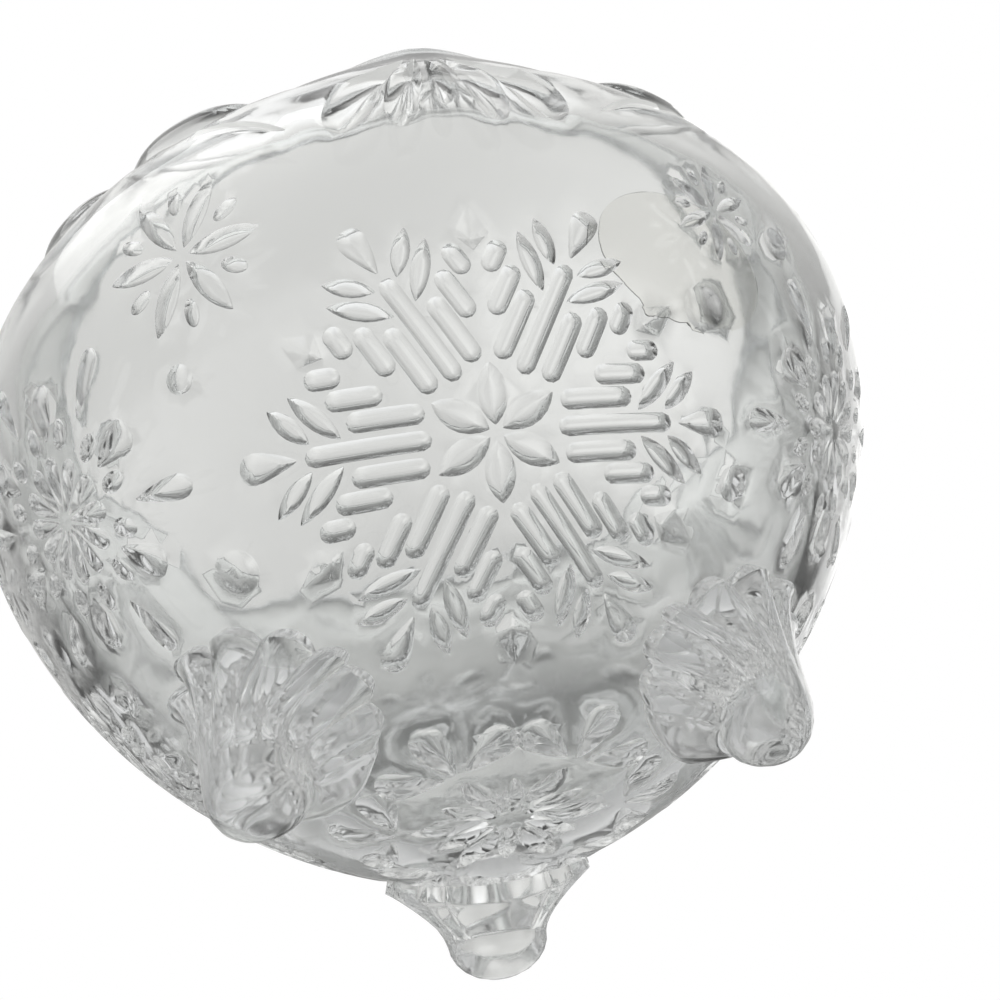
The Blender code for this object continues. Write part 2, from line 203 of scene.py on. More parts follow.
cut = {
    "rings": (1.0, 0.85, 0.65, 0.38), "roundness": 0.58, "ridge": 0.13, "corners": 8,
    "lensEnd": 0.85, "dropWiden": 1.45, "dropRise": 0.8, "dropEnd": 5, "dropDeepest": 0.62,
    "nearlyRound": 0.95, "kiteRings": (1.0, 0.88, 0.50, 0.12), "kiteBottom": 0.92,
    "kiteSteps": 4, "dotDepth": 0.42,
}


def halfWidth(kind, x, length, width):
    t = min(max(x / length, 0.0), 1.0)
    if kind == "bar":
        end = width / 2
        x = min(x, length - x)
        return end if x >= end else math.sqrt(max(end ** 2 - (end - x) ** 2, 0.0))
    if kind == "lens":
        return width / 2 * (1 - (2 * t - 1) ** 2) ** cut["lensEnd"]
    if kind == "drop":
        closing = math.sqrt(max(1 - t ** cut["dropEnd"], 0.0))
        return width / 2 * cut["dropWiden"] * t ** cut["dropRise"] * closing
    return width / 2 * math.sqrt(max(1 - (2 * t - 1) ** 2, 0.0))


def carve(kind, root, tip, width, depth):
    # closed rings of (place, depth) from the outline to the bottom of one cut
    axis = tip - root
    length = axis.length
    axis.normalize()
    side = Vector((-axis.y, axis.x))
    deepest = length * (cut["dropDeepest"] if kind == "drop" else 0.5)
    pull = min(width / length, 1.0)
    corners = cut["corners"] + int(length / 4)
    stops = [length * 0.5 * (1 - math.cos(math.pi * k / corners)) for k in range(corners + 1)]
    rings = []
    for size in cut["rings"] + (0.0,):
        shrink = 1 - (1 - size) * pull
        middle = [root + axis * (deepest + (x - deepest) * shrink) for x in stops]
        wide = [side * halfWidth(kind, x, length, width) * size for x in stops]
        low = depth * (0.5 + 0.5 * math.cos(math.pi * size)) ** cut["roundness"]
        if size == 1.0:
            low = -cut["ridge"]  # the wall stands up a little round every cut
        if size == 0.0:
            spots = middle if pull < cut["nearlyRound"] else [middle[len(middle) // 2]]
            rings.append([(spot, low) for spot in spots])
            continue
        loop = [middle[0]] + [m - w for m, w in zip(middle[1:-1], wide[1:-1])]
        loop += [middle[-1]] + [m + w for m, w in zip(middle[-2:0:-1], wide[-2:0:-1])]
        rings.append([(spot, low) for spot in loop])
    return rings


def carveKite(inner, outer, widest, width, depth):
    # a sharp four-sided recess that meets in one deep point
    axis = outer - inner
    side = Vector((-axis.y, axis.x)).normalized() * width / 2
    waist = inner + axis * widest
    outline = []
    for a, b in zip((inner, waist - side, outer, waist + side),
                    (waist - side, outer, waist + side, inner)):
        outline += [a.lerp(b, k / cut["kiteSteps"]) for k in range(cut["kiteSteps"])]
    rings = [[(waist.lerp(spot, size), depth * (1 - size)) for spot in outline]
             for size in cut["kiteRings"]]
    return rings + [[(waist, depth * cut["kiteBottom"])]]


def turned(reach, degrees, aside=0.0):
    a = math.radians(degrees)
    return Vector((reach * math.cos(a) - aside * math.sin(a),
                   reach * math.sin(a) + aside * math.cos(a)))


def carveRay(kind, span, degrees, depth):
    # a cut that points away from the middle: start, end and width
    start, end, width = span
    return carve(kind, turned(start, degrees), turned(end, degrees), width, depth)


largeFlake = {
    "petal": (0.9, 8.2, 3.7), "spine": (7.4, 21.9, 2.35), "tip": (22.7, 29.4, 3.5),
    "sideLeaves": ((17.6, 7.8, 2.35), (21.2, 6.2, 2.25)), "sideTurn": 45.0,
    "bars": ((3.10, 7.9, 16.9), (5.75, 12.4, 19.0), (8.40, 16.9, 21.1)), "barWidth": 2.5,
    "kite": (21.4, 27.9, 0.36, 4.6), "sideRoot": 1.5, "depth": 0.95, "kiteShare": 1.6,
}
mediumFlake = {
    "petal": (1.2, 8.3, 2.7), "oval": (9.0, 12.9, 2.5), "wide": (10.0, 17.4, 4.6),
    "long": (13.4, 22.0, 3.1), "depth": 0.80, "outerShare": 1.15,
}
smallFlakes = {
    "leaf": (0.10, 1.0, 0.28), "oval": (0.55, 0.90, 0.19), "depth": 0.80, "ovalShare": 0.8,
}


def drawLargeFlake(f):
    cuts = []
    for arm in range(6):
        at = 60.0 * arm
        cuts.append(carveRay("lens", f["petal"], at + 30, f["depth"]))
        cuts.append(carveRay("bar", f["spine"], at, f["depth"]))
        cuts.append(carveRay("drop", f["tip"], at, f["depth"]))
        start, end, widest, width = f["kite"]
        cuts.append(carveKite(turned(start, at + 30), turned(end, at + 30), widest, width,
                              f["depth"] * f["kiteShare"]))
        for hand in (-1, 1):
            for reach, length, width in f["sideLeaves"]:
                root = turned(reach, at, f["sideRoot"] * hand)
                cuts.append(carve("lens", root, root + turned(length, at + hand * f["sideTurn"]),
                                  width, f["depth"]))
            for aside, start, end in f["bars"]:
                cuts.append(carve("bar", turned(start, at, aside * hand),
                                  turned(end, at, aside * hand), f["barWidth"], f["depth"]))
    return cuts


def drawMediumFlake(f):
    cuts = []
    for k in range(12):
        at = 30.0 * k
        cuts.append(carveRay("drop", f["petal"], at, f["depth"]))
        cuts.append(carveRay("oval", f["oval"], at + 15, f["depth"]))
        cuts.append(carveRay("drop", f["long"] if k % 2 else f["wide"], at,
                             f["depth"] * f["outerShare"]))
    return cuts


def drawSmallFlake(f, reach, turn):
    cuts = []
    leaf, oval = ([reach * part for part in f[shape]] for shape in ("leaf", "oval"))
    for k in range(6):
        at = turn + 60.0 * k
        cuts.append(carveRay("lens", leaf, at, f["depth"]))
        cuts.append(carveRay("oval", oval, at + 30, f["depth"] * f["ovalShare"]))
    return cuts


def drawDot(radius):
    return [carve("oval", Vector((0, -radius)), Vector((0, radius)), 2 * radius,
                  cut["dotDepth"] * radius)]


# Where each motif sits in a third of the bowl: azimuth, then millimetres along the outside

placed = {
    "bend": 0.0053,
    "large": (0.0, 57.0),
    "medium": (59.0, 72.8),
    "small": ((-30.2, 88.8, 10.4, -8.0), (29.4, 89.0, 7.0, 38.0)),
    "dots": ((-42.2, 52.0, 3.0), (-35.6, 74.9, 1.9), (28.2, 74.9, 3.3), (38.8, 55.2, 2.4),
             (39.6, 89.9, 2.5)),
}


def layOnWall(cuts, azimuth, along):
    # wraps a flat drawing round the wall: (azimuth, along, depth) for every point
    laid = []
    for rings in cuts:
        laid.append([])
        for ring in rings:
            line = []
            for spot, depth in ring:
                up = (along + spot.y + placed["bend"] * spot.x ** 2) / 1000.0
                radius = readLine(outside, up)[0] * 1000.0
                turn = math.asin(min(max(spot.x / radius, -1.0), 1.0))
                line.append((azimuth + turn, up, depth / 1000.0))
            laid[-1].append(line)
    return laid


def layOnBase(cuts):
    return [[[(math.atan2(spot.x, spot.y), spot.length / 1000.0, depth / 1000.0)
              for spot, depth in ring] for ring in rings] for rings in cuts]


medallion = {
    "nodes": 6, "long": (2.6, 13.4, 4.0), "short": (2.2, 10.8, 2.9),
    "radial": (15.2, 24.2, 4.9), "sideRoot": (15.4, 5.0), "sideTip": (20.8, 28.2),
    "sideWidth": 5.2, "depth": 1.30,
}


def drawMedallion(m):
    cuts = []
    for k in range(m["nodes"]):
        at = 60.0 * k
        cuts.append(carveRay("lens", m["long"], at, m["depth"]))
        cuts.append(carveRay("lens", m["short"], at + 30, m["depth"]))
        cuts.append(carveRay("drop", m["radial"], at, m["depth"]))
        for hand in (-1, 1):
            root, tip = (turned(reach, at + hand * turn)
                         for reach, turn in (m["sideRoot"], m["sideTip"]))
            cuts.append(carve("drop", root, tip, m["sideWidth"], m["depth"]))
    return cuts


# Fans of flutes below the rim's peaks: tip (degrees, along), root (degrees, along), width

fan = {
    "radius": 68.0,
    "flutes": ((0.0, 99.5, 0.0, 118.5, 2.9), (5.2, 96.4, 1.15, 119.3, 4.4),
               (11.6, 97.2, 2.5, 119.0, 6.2)),
    "groove": (16.4, 100.2, 34.0, 114.6, 3.0), "depth": 1.5, "grooveDepth": 0.675,
}


def layNear(rings, azimuth):
    # one cut laid on the nearly upright wall below the rim
    return [[(azimuth + spot.x / fan["radius"], spot.y / 1000.0, depth / 1000.0)
             for spot, depth in ring] for ring in rings]


def layFan(f, azimuth):
    laid = []
    here = f["radius"] * math.radians(1.0)
    for tipTurn, tipAlong, rootTurn, rootAlong, width in f["flutes"]:
        for hand in ((1,) if tipTurn == 0 else (-1, 1)):
            root = Vector((hand * rootTurn * here, rootAlong))
            tip = Vector((hand * tipTurn * here, tipAlong))
            laid.append(layNear(carve("drop", root, tip, width, f["depth"]), azimuth))
    startTurn, startAlong, endTurn, endAlong, width = f["groove"]
    for hand in (-1, 1):
        start = Vector((hand * startTurn * here, startAlong))
        end = Vector((hand * endTurn * here, endAlong))
        laid.append(layNear(carve("lens", start, end, width, f["grooveDepth"]), azimuth))
    return laid


def layPattern():
    laid = layOnBase(drawMedallion(medallion))
    for third in range(rim["thirds"]):
        front = math.radians(third * thirdTurn)
        laid += layFan(fan, front)
        azimuth, along = placed["large"]
        laid += layOnWall(drawLargeFlake(largeFlake), front + math.radians(azimuth), along)
        azimuth, along = placed["medium"]
        laid += layOnWall(drawMediumFlake(mediumFlake), front + math.radians(azimuth), along)
        for azimuth, along, reach, turn in placed["small"]:
            laid += layOnWall(drawSmallFlake(smallFlakes, reach, turn),
                              front + math.radians(azimuth), along)
        for azimuth, along, radius in placed["dots"]:
            laid += layOnWall(drawDot(radius), front + math.radians(azimuth), along)
    return laid


# The carved outside as one sheet

sheet = {
    "step": 0.0021, "clear": 0.45, "bandGap": 0.0010, "cavityRows": 40, "sharp": 50.0,
    "rows": (1.50, 1.30, 1.14, 0.94, 0.86, 0.75, 0.62, 0.48, 0.34, 0.20, 0.08),
}


def insideLoop(spots, loop):
    # which flat spots lie inside a flat closed line
    hit = np.zeros(len(spots), bool)
    for a, b in zip(loop, np.roll(loop, -1, axis=0)):
        crosses = (a[1] > spots[:, 1]) != (b[1] > spots[:, 1])
        rise = np.where(b[1] == a[1], 1e-12, b[1] - a[1])
        hit ^= crosses & (spots[:, 0] < (b[0] - a[0]) * (spots[:, 1] - a[1]) / rise + a[0])
    return hit


def carvedSheet():
    laid = layPattern()
    flat, spots, fixed = [], [], []

    def add(azimuth, along, depth=0.0):
        flat.append(toFlat(azimuth, along))
        spots.append((azimuth, along, depth))
        return len(flat) - 1

    def addLoop(line, closed=True):
        loop = [add(*spot) for spot in line]
        fixed.extend(zip(loop, loop[1:] + loop[:1] if closed else loop[1:]))
        return loop

    turns = [2 * math.pi * k / rim["columns"] for k in range(rim["columns"])]
    edge = addLoop([(turn, outside["length"]) for turn in turns])
    outlines = []
    for rings in laid:
        outlines.append(np.array([tuple(flat[k]) for k in addLoop(rings[0])]))
        for ring in rings[1:-1]:
            addLoop(ring)
        addLoop(rings[-1], closed=False)

    # staggered rings of plain wall, rows that follow the lobes, and the lobes' lower arcs
    plain = []
    for row, along in enumerate(np.arange(0.0, outside["length"], sheet["step"])):
        girth = 2 * math.pi * max(readLine(outside, along)[0], 0.0)
        count = max(int(round(girth / sheet["step"])), 1)
        for k in range(count):
            turn = 2 * math.pi * (k + 0.5 * (row % 2)) / count
            band = rimLobe(turn)[3]
            if outside["length"] - along > sheet["rows"][0] * band + sheet["bandGap"]:
                plain.append((turn, along))
    for share in sheet["rows"]:
        plain += [(turn, outside["length"] - share * rimLobe(turn)[3]) for turn in turns]
    for lobe in range(rim["thirds"] * rim["plainLobes"]):
        third, number = divmod(lobe, rim["plainLobes"])
        start = third * thirdTurn + rim["fanHalf"] + number * lobeTurn
        arc = [math.radians(start + k * 360 / rim["columns"])
               for k in range(int(round(lobeTurn * rim["columns"] / 360)) + 1)]
        addLoop([(turn, outside["length"] - rimLobe(turn)[3]) for turn in arc], closed=False)
    places = np.array([tuple(toFlat(*spot)) for spot in plain])
    free = np.ones(len(places), bool)
    for loop in outlines:
        low, high = loop.min(axis=0), loop.max(axis=0)
        size = float(np.interp(np.hypot(*loop.mean(axis=0)) / 1000.0, flatReach,
                               flatReach / np.maximum(outside["points"][:, 0], 1e-4)))
        gap = sheet["clear"] * max(size, 1.0)
        near = np.nonzero((places > low - gap).all(axis=1) & (places < high + gap).all(axis=1))[0]
        if not len(near):
            continue
        some = places[near]
        far = np.min(np.hypot(some[:, None, 0] - loop[None, :, 0],
                              some[:, None, 1] - loop[None, :, 1]), axis=1)
        free[near[insideLoop(some, loop) | (far < gap)]] = False
    for spot in np.array(plain)[free]:
        add(*spot)

    found, _, faces, origins, _, _ = delaunay_2d_cdt(flat, fixed, [], 0, 1e-4)
    index = []
    for place, origin in zip(found, origins):
        if origin:
            index.append(origin[0])
        else:
            index.append(add(*fromFlat(place)))
    used = [tuple(index[corner] for corner in face) for face in faces]
    used = [face for face in used if len(set(face)) == 3]
    return spots, used, edge


def turnedCavity(mesh):
    bm = bmesh.new()
    stops = np.linspace(inside["length"], 0.0, sheet["cavityRows"])
    line = [bm.verts.new(polar(readLine(inside, s)[0], 0.0, readLine(inside, s)[1])) for s in stops]
    edges = [bm.edges.new(pair) for pair in zip(line, line[1:])]
    bmesh.ops.spin(bm, geom=line + edges, cent=(0, 0, 0), axis=(0, 0, 1), angle=2 * math.pi,
                   steps=rim["columns"], use_merge=True)
    bmesh.ops.remove_doubles(bm, verts=bm.verts[:], dist=1e-6)
    rising = slice(wall["floorSteps"] - 1, None)  # past the flat floor, height only grows
    for v in bm.verts:
        along = float(np.interp(v.co.z, inside["points"][rising, 1], inside["along"][rising]))
        rise = max(1 - (inside["length"] - along) / rim["band"], 0.0)
        drop = rimLobe(math.atan2(v.co.x, -v.co.y))[2]
        v.co.z += wall["clearance"] - drop * rise * rise
    bm.to_mesh(mesh)
    bm.free()


def buildGlass():
    spots, faces, edge = carvedSheet()
    print("carved outside:", len(faces), "triangles")
    bm = bmesh.new()
    verts = [bm.verts.new(outerPoint(*spot)) for spot in spots]
    for face in faces:
        bm.faces.new([verts[corner] for corner in face])
    rimVerts = [verts[k] for k in edge]
    bmesh.ops.delete(bm, geom=[v for v in bm.verts if not v.link_faces], context="VERTS")

    # the inside is turned on its own, then its mouth follows the lobes
    before = set(bm.verts)
    cavity = bpy.data.meshes.new("cavity")
    turnedCavity(cavity)
    bm.from_mesh(cavity)
    bpy.data.meshes.remove(cavity)

    # the lip: the outer edge is drawn up over a rounded crown and joined to the mouth
    mouthEdges = [e for e in bm.edges if e.is_boundary and e.verts[0] not in before]
    lipEdges = [e for e in bm.edges if e.is_boundary and e.verts[0] in before]
    across = {}
    for v in {v for e in mouthEdges for v in e.verts}:
        across[round(math.degrees(math.atan2(v.co.x, -v.co.y)) * rim["columns"] / 360)
               % rim["columns"]] = v.co.copy()
    row = lipEdges
    places = {v: (v.co.copy(), across[k]) for k, v in enumerate(rimVerts)}
    for step in range(1, rim["lipRows"]):
        part = step / rim["lipRows"]
        made = bmesh.ops.extrude_edge_only(bm, edges=row)["geom"]
        fresh = [v for v in made if isinstance(v, bmesh.types.BMVert)]
        below = {}
        for v in fresh:
            for e in v.link_edges:
                other = e.other_vert(v)
                if other in places:
                    below[v] = places[other]
        for v, (near, far) in below.items():
            v.co = near.lerp(far, 0.5 - 0.5 * math.cos(math.pi * part))
            v.co.z += rim["lipCrown"] * math.sin(math.pi * part)
        places.update(below)
        row = [e for e in made if isinstance(e, bmesh.types.BMEdge) and e.is_boundary]
    mouthEdges = [e for e in bm.edges if e.is_boundary and e not in row
                  and all(v not in places for v in e.verts)]
    bmesh.ops.bridge_loops(bm, edges=row + mouthEdges)
    bmesh.ops.recalc_face_normals(bm, faces=bm.faces[:])
    return bm


def finishPiece(name, bm, material, sharp):
    bmesh.ops.triangulate(bm, faces=[f for f in bm.faces if len(f.verts) > 4])
    mesh = bpy.data.meshes.new(name)
    bm.to_mesh(mesh)
    bm.free()
    mesh.shade_smooth()
    mesh.set_sharp_from_angle(angle=math.radians(sharp))
    mesh.materials.append(material)
    piece = bpy.data.objects.new(name, mesh)
    bpy.context.scene.collection.objects.link(piece)
    return piece


# Scallop-shell feet, pressed in one with the bowl

foot = {
    "first": 60.0, "count": 3, "centre": 0.0360, "halfWidth": 0.0150, "reachUp": 0.0125,
    "crownPower": 1.5, "reachDown": 0.0135, "thickness": 0.0029, "edge": 0.0024,
    "flutes": 14, "stepsPerFlute": 12, "fluteDepth": 0.0014, "fluteTip": 0.0020,
    "toeRadius": 0.0363, "toeHalfWidth": 0.0076, "toeHalfDepth": 0.0062,
    "toeEquator": 0.0055, "toeSlope": 0.0018, "padRadius": 0.0014, "rootDepth": 0.0016,
    "fluteFrom": -0.95, "fluteOver": 0.6, "crestPower": 0.8, "hollowFade": 1.4,
    "bendReach": 1.12, "bodyRows": (0.06, 0.16, 0.28, 0.42, 0.56, 0.70, 0.85),
    "toeRows": (15.0, 30.0, 45.0, 60.0, 75.0), "coreDepth": 1.4,
}


def smoothStep(value):
    value = min(max(value, 0.0), 1.0)
    return value * value * (3 - 2 * value)


def shellLobe(f, theta):
    fluted = smoothStep((math.sin(theta) - f["fluteFrom"]) / f["fluteOver"])
    crest = abs(math.cos(0.5 * f["flutes"] * (theta - math.pi / 2)))
    return fluted, crest ** f["crestPower"]


def shellEdge(f, theta):
    fluted, crest = shellLobe(f, theta)
    tip = f["fluteTip"] * (crest - 0.5) * fluted
    across, up = math.cos(theta), math.sin(theta)
    reach = f["reachUp"] * up ** f["crownPower"] if up > 0 else f["reachDown"] * up
    return f["halfWidth"] * across + tip * across, reach + tip * up


def onWall(f, azimuth, across, up, lift):
    radius, height, outR, outZ = readLine(outside, f["centre"] + up)
    turn = azimuth + across / readLine(outside, f["centre"] + up * 0.5)[0]
    return polar(radius + outR * lift, turn, wall["clearance"] + height + outZ * lift)


def wallHeight(radius):
    return wall["clearance"] + float(np.interp(radius, outside["points"][:, 0],
                                               outside["points"][:, 1]))


def footSpoke(f, azimuth, theta):
    fluted, crest = shellLobe(f, theta)
    hollow = f["fluteDepth"] * fluted * (1 - crest)
    outward = polar(1.0, azimuth, 0.0)
    aside = polar(1.0, azimuth + math.pi / 2, 0.0)
    toe = outward * f["toeRadius"]
    arm = (aside * f["toeHalfWidth"] * math.cos(theta)
           + outward * f["toeHalfDepth"] * math.sin(theta))
    across, up = shellEdge(f, theta)
    edge = onWall(f, azimuth, across, up, f["edge"] - hollow)
    equator = toe + arm + Vector((0, 0, f["toeEquator"] + f["toeSlope"] * math.sin(theta)))
    bend = toe + arm * f["bendReach"]
    bend.z = min(wallHeight(bend.length), edge.z) - f["thickness"]
    spoke = [onWall(f, azimuth, across, up, -f["rootDepth"]), edge]
    for part in f["bodyRows"]:
        point = edge.lerp(bend, part).lerp(bend.lerp(equator, part), part)
        inward = toe - point
        inward.z = 0.0
        point += inward.normalized() * hollow * (1 - part) ** f["hollowFade"]
        spoke.append(point)
    spoke.append(equator)
    padShare = f["padRadius"] / f["toeHalfWidth"]
    for turn in f["toeRows"]:
        size = padShare + (1 - padShare) * math.cos(math.radians(turn))
        point = toe + arm * size
        point.z = equator.z * (1 - math.sin(math.radians(turn)))
        spoke.append(point)
    spoke.append(toe + arm * padShare)
    return spoke


def buildFoot(f, azimuth):
    spokes = f["flutes"] * f["stepsPerFlute"]
    bm = bmesh.new()
    grid = [[bm.verts.new(point) for point in footSpoke(f, azimuth, 2 * math.pi * k / spokes)]
            for k in range(spokes)]
    for here in range(spokes):
        after = (here + 1) % spokes
        for low, high in zip(range(len(grid[0])), range(1, len(grid[0]))):
            bm.faces.new((grid[here][low], grid[after][low], grid[after][high], grid[here][high]))
    bm.faces.new([line[-1] for line in grid])
    root = bm.verts.new(onWall(f, azimuth, 0.0, 0.0, -f["coreDepth"] * f["rootDepth"]))
    for here in range(spokes):
        bm.faces.new((grid[here][0], grid[(here + 1) % spokes][0], root))
    bmesh.ops.recalc_face_normals(bm, faces=bm.faces[:])
    return bm


def joinFeet(bowl, feet):
    # one glass body: the feet are fused to the wall and their own meshes go
    for piece in feet:
        fuse = bowl.modifiers.new("fuse", "BOOLEAN")
        fuse.operation = "UNION"
        fuse.solver = "EXACT"
        fuse.object = piece
    graph = bpy.context.evaluated_depsgraph_get()
    joined = bpy.data.meshes.new_from_object(bowl.evaluated_get(graph))
    bowl.modifiers.clear()
    bowl.data = joined
    for piece in feet:
        bpy.data.objects.remove(piece, do_unlink=True)
    joined.shade_smooth()
    joined.set_sharp_from_angle(angle=math.radians(sheet["sharp"]))
    print("glass body:", len(joined.polygons), "faces")


# Label film inside the wall, left blank

label = {
    "azimuth": 27.5, "height": 0.0455, "width": 0.0250, "tall": 0.0170, "tilt": -5.0,
    "lift": 0.00008, "film": 0.00015, "spots": 96, "rings": 10, "sharp": 60.0,
}


def buildLabel(d):
    middle = float(np.interp(d["height"], inside["points"][:, 1], inside["along"]))
    tilt = math.radians(d["tilt"])
    bm = bmesh.new()
    line = [bm.verts.new((k / d["rings"], 0, 0)) for k in range(d["rings"] + 1)]
    edges = [bm.edges.new(pair) for pair in zip(line, line[1:])]
    bmesh.ops.spin(bm, geom=line + edges, cent=(0, 0, 0), axis=(0, 0, 1), angle=2 * math.pi,
                   steps=d["spots"], use_merge=True)
    bmesh.ops.remove_doubles(bm, verts=bm.verts[:], dist=1e-6)
    for v in bm.verts:
        x, y = v.co.x * d["width"] / 2, v.co.y * d["tall"] / 2
        across = x * math.cos(tilt) - y * math.sin(tilt)
        up = x * math.sin(tilt) + y * math.cos(tilt)
        radius, height, outR, outZ = readLine(inside, middle + up)
        turn = math.radians(d["azimuth"]) + across / readLine(inside, middle)[0]
        v.co = polar(radius - outR * d["lift"], turn,
                     wall["clearance"] + height - outZ * d["lift"])
    bmesh.ops.recalc_face_normals(bm, faces=bm.faces[:])
    bmesh.ops.solidify(bm, geom=bm.faces[:], thickness=-d["film"])
    bmesh.ops.recalc_face_normals(bm, faces=bm.faces[:])
    return bm


# Materials


def newMaterial(name):
    material = bpy.data.materials.new(name)
    material.use_nodes = True
    nodes, links = material.node_tree.nodes, material.node_tree.links
    return material, nodes, links, nodes["Principled BSDF"]


def noise(nodes, links, scale, detail):
    place = nodes.new("ShaderNodeTexCoord")
    texture = nodes.new("ShaderNodeTexNoise")
    texture.inputs["Scale"].default_value = scale
    texture.inputs["Detail"].default_value = detail
    links.new(place.outputs["Object"], texture.inputs["Vector"])
    return texture.outputs["Fac"]


def ramp(nodes, links, value, low, high):
    scaled = nodes.new("ShaderNodeMapRange")
    scaled.inputs["To Min"].default_value = low
    scaled.inputs["To Max"].default_value = high
    links.new(value, scaled.inputs["Value"])
    return scaled.outputs["Result"]


def bump(nodes, links, height, strength, distance):
    node = nodes.new("ShaderNodeBump")
    node.inputs["Strength"].default_value = strength
    node.inputs["Distance"].default_value = distance
    links.new(height, node.inputs["Height"])
    return node.outputs["Normal"]


# clear soda glass with the slow ripple and faint haze of a mould
glassLook = {
    "colour": (0.965, 0.978, 0.975, 1), "ior": 1.50, "hazeGrain": (70.0, 4.0),
    "haze": (0.045, 0.115), "rippleGrain": (95.0, 2.0), "ripple": (0.25, 0.0004),
}
# thin film, drier than the glass and faintly creased
filmLook = {
    "colour": (0.985, 0.98, 0.96, 1), "ior": 1.40, "hazeGrain": (300.0, 3.0),
    "haze": (0.03, 0.12), "rippleGrain": (220.0, 3.0), "ripple": (0.2, 0.0002),
}


def clearMaterial(name, look):
    material, nodes, links, shader = newMaterial(name)
    shader.inputs["Base Color"].default_value = look["colour"]
    shader.inputs["Transmission Weight"].default_value = 1.0
    shader.inputs["IOR"].default_value = look["ior"]
    haze = ramp(nodes, links, noise(nodes, links, *look["hazeGrain"]), *look["haze"])
    links.new(haze, shader.inputs["Roughness"])
    ripple = noise(nodes, links, *look["rippleGrain"])
    links.new(bump(nodes, links, ripple, *look["ripple"]), shader.inputs["Normal"])
    return material


glass = clearMaterial("pressedGlass", glassLook)
bowl = finishPiece("glassBowl", buildGlass(), glass, sheet["sharp"])
feet = [finishPiece("shellFoot%d" % (k + 1),
                    buildFoot(foot, math.radians(foot["first"] + 360.0 / foot["count"] * k)),
                    glass, sheet["sharp"]) for k in range(foot["count"])]
joinFeet(bowl, feet)
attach(bowl, "root")
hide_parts("bowl", "foot_1", "foot_2", "foot_3")
film = finishPiece("labelFilm", buildLabel(label), clearMaterial("clearFilm", filmLook),
                   label["sharp"])
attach(film, "root")
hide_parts("care_label")
print("label film laid inside the wall")

# Stage: a pale floor seen only from above, soft lamps, a pale surround

studio = {
    "floorSize": 3.0, "floorColour": (0.80, 0.80, 0.80, 1), "floorRough": 0.9,
    "floorFade": (0.25, 1.4), "light": 0.75, "seenBehind": (1.0, 1.0, 1.0, 1),
    "shades": ((0.0, 0.16), (0.48, 0.18), (0.505, 0.03), (0.57, 0.05), (0.63, 0.14), (0.71, 0.38),
               (0.78, 0.54), (0.85, 0.70), (0.92, 0.79), (0.96, 0.88), (1.0, 1.1)),
    "tint": (1.0, 0.995, 0.975), "roomScale": 1.8, "roomShare": (0.5, 1.5),
    "lampAim": (0, 0, 0.05),
    "lamps": (("keyLamp", (-0.55, -0.35, 0.75), (0.80, 0.55), 2.4),
              ("sideLamp", (0.60, 0.45, 0.55), (0.50, 0.80), 1.1)),
}


def buildFloor(d):
    bm = bmesh.new()
    bmesh.ops.create_grid(bm, x_segments=2, y_segments=2, size=d["floorSize"] / 2)
    material, nodes, links, shader = newMaterial("paleFloor")
    shader.inputs["Base Color"].default_value = d["floorColour"]
    shader.inputs["Roughness"].default_value = d["floorRough"]
    under = nodes.new("ShaderNodeNewGeometry")
    clear = nodes.new("ShaderNodeBsdfTransparent")
    place = nodes.new("ShaderNodeTexCoord")
    reach = nodes.new("ShaderNodeVectorMath")
    reach.operation = "LENGTH"
    links.new(place.outputs["Object"], reach.inputs[0])
    fade = nodes.new("ShaderNodeMapRange")  # towards its edge the floor goes over into the white
    fade.interpolation_type = "SMOOTHSTEP"
    fade.inputs["From Min"].default_value, fade.inputs["From Max"].default_value = d["floorFade"]
    links.new(reach.outputs["Value"], fade.inputs["Value"])
    unseen = nodes.new("ShaderNodeMath")
    unseen.operation = "MAXIMUM"
    links.new(under.outputs["Backfacing"], unseen.inputs[0])
    links.new(fade.outputs["Result"], unseen.inputs[1])
    mix = nodes.new("ShaderNodeMixShader")
    links.new(unseen.outputs["Value"], mix.inputs["Fac"])
    links.new(shader.outputs["BSDF"], mix.inputs[1])
    links.new(clear.outputs["BSDF"], mix.inputs[2])
    links.new(mix.outputs["Shader"], nodes["Material Output"].inputs["Surface"])
    mesh = bpy.data.meshes.new("floor")
    bm.to_mesh(mesh)
    bm.free()
    mesh.materials.append(material)
    floor = bpy.data.objects.new("floor", mesh)
    bpy.context.scene.collection.objects.link(floor)


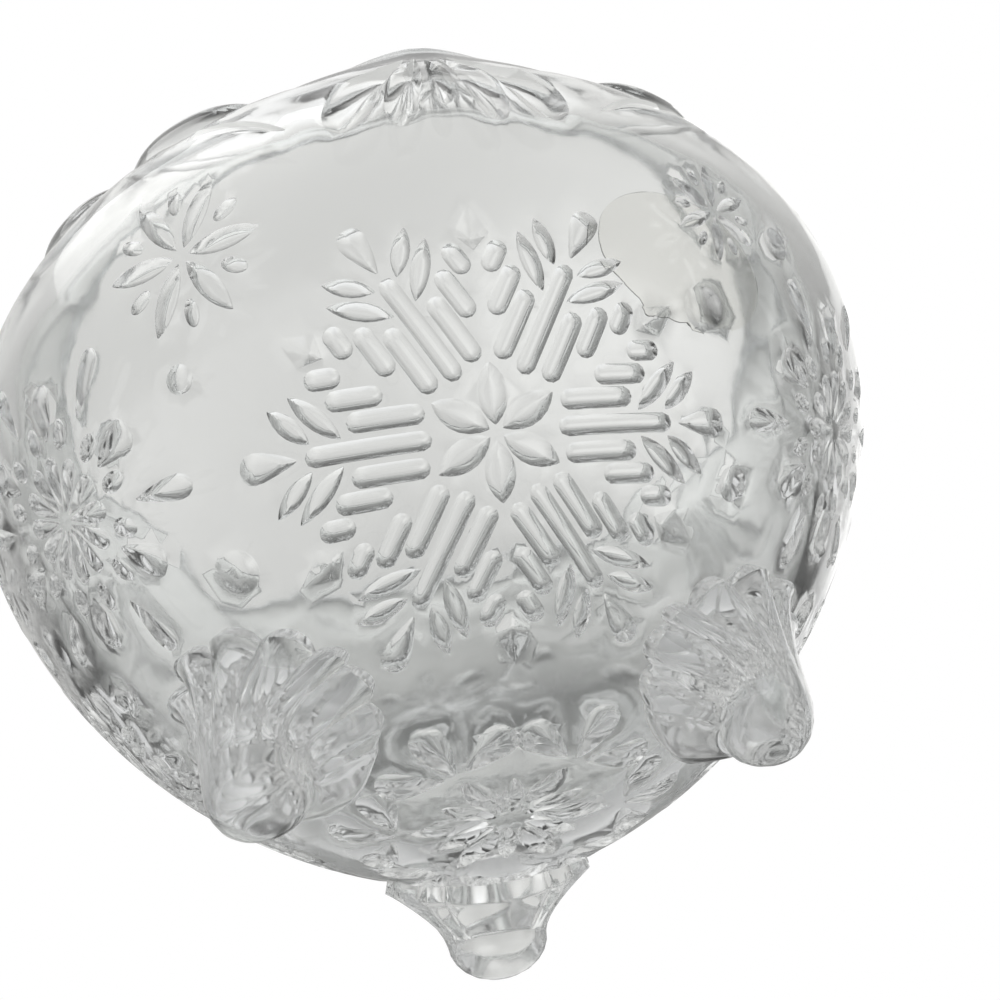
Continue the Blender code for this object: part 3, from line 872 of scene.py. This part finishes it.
def buildWorld(d):
    # even light for the bowl, bands of shade in what the glass shows, white behind everything
    world = bpy.data.worlds.new("surround")
    bpy.context.scene.world = world
    world.use_nodes = True
    nodes, links = world.node_tree.nodes, world.node_tree.links
    lightOnly = nodes["Background"]
    lightOnly.inputs["Color"].default_value = (1, 1, 1, 1)
    lightOnly.inputs["Strength"].default_value = d["light"]
    place = nodes.new("ShaderNodeTexCoord")
    split = nodes.new("ShaderNodeSeparateXYZ")
    links.new(place.outputs["Generated"], split.inputs["Vector"])
    level = nodes.new("ShaderNodeMapRange")
    level.inputs["From Min"].default_value = -1.0
    links.new(split.outputs["Z"], level.inputs["Value"])
    shades = nodes.new("ShaderNodeValToRGB")
    stops = shades.color_ramp.elements
    stops[0].color, stops[1].color = [(d["shades"][k][1],) * 3 + (1,) for k in (0, -1)]
    for position, value in d["shades"][1:-1]:
        stops.new(position).color = [value * part for part in d["tint"]] + [1]
    links.new(level.outputs["Result"], shades.inputs["Fac"])
    room = nodes.new("ShaderNodeTexNoise")
    room.inputs["Scale"].default_value = d["roomScale"]
    room.inputs["Detail"].default_value = 1.0
    links.new(place.outputs["Generated"], room.inputs["Vector"])
    uneven = ramp(nodes, links, room.outputs["Fac"], *d["roomShare"])
    scaled = nodes.new("ShaderNodeVectorMath")
    scaled.operation = "SCALE"
    links.new(shades.outputs["Color"], scaled.inputs[0])
    links.new(uneven, scaled.inputs["Scale"])
    through = nodes.new("ShaderNodeBackground")
    links.new(scaled.outputs["Vector"], through.inputs["Color"])
    seen = nodes.new("ShaderNodeBackground")
    seen.inputs["Color"].default_value = d["seenBehind"]
    path = nodes.new("ShaderNodeLightPath")
    sharpRay = nodes.new("ShaderNodeMath")
    sharpRay.operation = "MAXIMUM"
    links.new(path.outputs["Is Glossy Ray"], sharpRay.inputs[0])
    links.new(path.outputs["Is Transmission Ray"], sharpRay.inputs[1])
    first = nodes.new("ShaderNodeMixShader")
    links.new(sharpRay.outputs["Value"], first.inputs["Fac"])
    links.new(lightOnly.outputs["Background"], first.inputs[1])
    links.new(through.outputs["Background"], first.inputs[2])
    second = nodes.new("ShaderNodeMixShader")
    links.new(path.outputs["Is Camera Ray"], second.inputs["Fac"])
    links.new(first.outputs["Shader"], second.inputs[1])
    links.new(seen.outputs["Background"], second.inputs[2])
    links.new(second.outputs["Shader"], nodes["World Output"].inputs["Surface"])


def addLamp(name, place, size, power, target):
    lamp = bpy.data.lights.new(name, "AREA")
    lamp.shape = "RECTANGLE"
    lamp.size, lamp.size_y = size
    lamp.energy = power
    holder = bpy.data.objects.new(name, lamp)
    holder.location = place
    aim = Vector(target) - Vector(place)
    holder.rotation_euler = aim.to_track_quat("-Z", "Y").to_euler()
    holder.visible_transmission = False  # its hard edges don't show through the glass
    bpy.context.scene.collection.objects.link(holder)


buildFloor(studio)
buildWorld(studio)
for lampSize in studio["lamps"]:
    addLamp(*lampSize, studio["lampAim"])
print("floor, surround and", len(studio["lamps"]), "lamps set")

# Camera below and in front of the bowl, as in the photograph

view = {
    "spot": (0.0, -0.1578285, -0.0811621), "lift": 0.0060, "turn": -9.185,
    "right": (0.97602015, 0.10620711, -0.19001241), "up": (0.2131069, -0.64418748, 0.73458011),
    "ahead": (0.04438598, 0.75745794, 0.65137343), "lens": 47.118,
}


def buildCamera(d):
    camera = bpy.data.cameras.new("camera")
    camera.lens = d["lens"]
    camera.sensor_width = 36.0
    camera.clip_start = 0.005
    turn = Matrix.Rotation(math.radians(d["turn"]), 3, "Z")
    right, up, ahead = (turn @ Vector(d[key]) for key in ("right", "up", "ahead"))
    spot = turn @ Vector(d["spot"]) + Vector((0, 0, d["lift"]))
    holder = bpy.data.objects.new("camera", camera)
    aim = Matrix((right, up, -ahead)).transposed().to_4x4()
    holder.matrix_world = Matrix.Translation(spot) @ aim
    bpy.context.scene.collection.objects.link(holder)
    bpy.context.scene.camera = holder


buildCamera(view)
bpy.context.scene.view_settings.view_transform = "Standard"
bounces = bpy.context.scene.cycles  # glass goes black inside where light paths are cut short
bounces.max_bounces, bounces.transmission_bounces, bounces.glossy_bounces = 28, 28, 16
